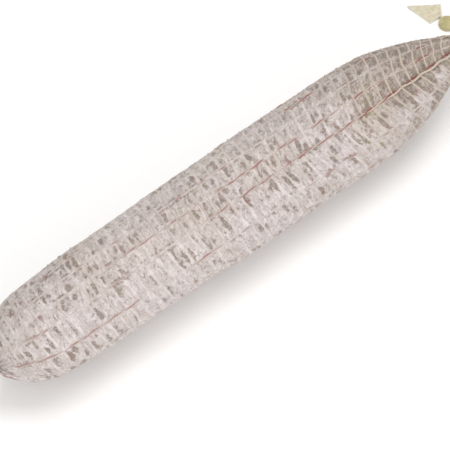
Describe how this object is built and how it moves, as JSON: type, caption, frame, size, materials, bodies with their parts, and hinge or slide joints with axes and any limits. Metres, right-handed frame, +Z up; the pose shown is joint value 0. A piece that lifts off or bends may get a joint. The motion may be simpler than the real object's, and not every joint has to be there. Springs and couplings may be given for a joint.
{
  "type": "cured sausage",
  "caption": "Whole dry-cured sausage in a string net, blunt at one end and tapering to a tied tail with a hanging seal and a blank card, lying on its side.",
  "frame": {"origin": "on the surface that the sausage lies on, under the middle of its length", "axes": "+X along the sausage from its blunt end to its tied tail, +Z up; the seal and card lie on the +Y side"},
  "size_m": [0.577, 0.1386, 0.094],
  "materials": {
    "casing": "natural casing under a powdery pinkish-white mould bloom, with darker specks",
    "cream_string": "twisted cream yarn, dusted with mould",
    "red_string": "twisted pair of a faded red and a cream yarn",
    "seal": "pale olive-yellow pressed seal, satin",
    "card": "blank mottled cream card"
  },
  "bodies": {
    "root": {"sausage": "casing", "net_weft": "cream_string", "net_warp_01": "red_string", "net_warp_02": "red_string", "net_warp_03": "red_string", "net_warp_04": "red_string", "net_warp_05": "red_string", "net_warp_06": "red_string", "net_warp_07": "red_string", "net_warp_08": "red_string", "net_warp_09": "red_string", "net_warp_10": "red_string", "net_warp_11": "red_string", "net_warp_12": "red_string", "net_warp_13": "red_string", "net_warp_14": "red_string", "blunt_tie": "cream_string", "tail_tie": "cream_string", "seal_string": "cream_string", "seal": "seal", "card": "card"}
  },
  "joints": []
}
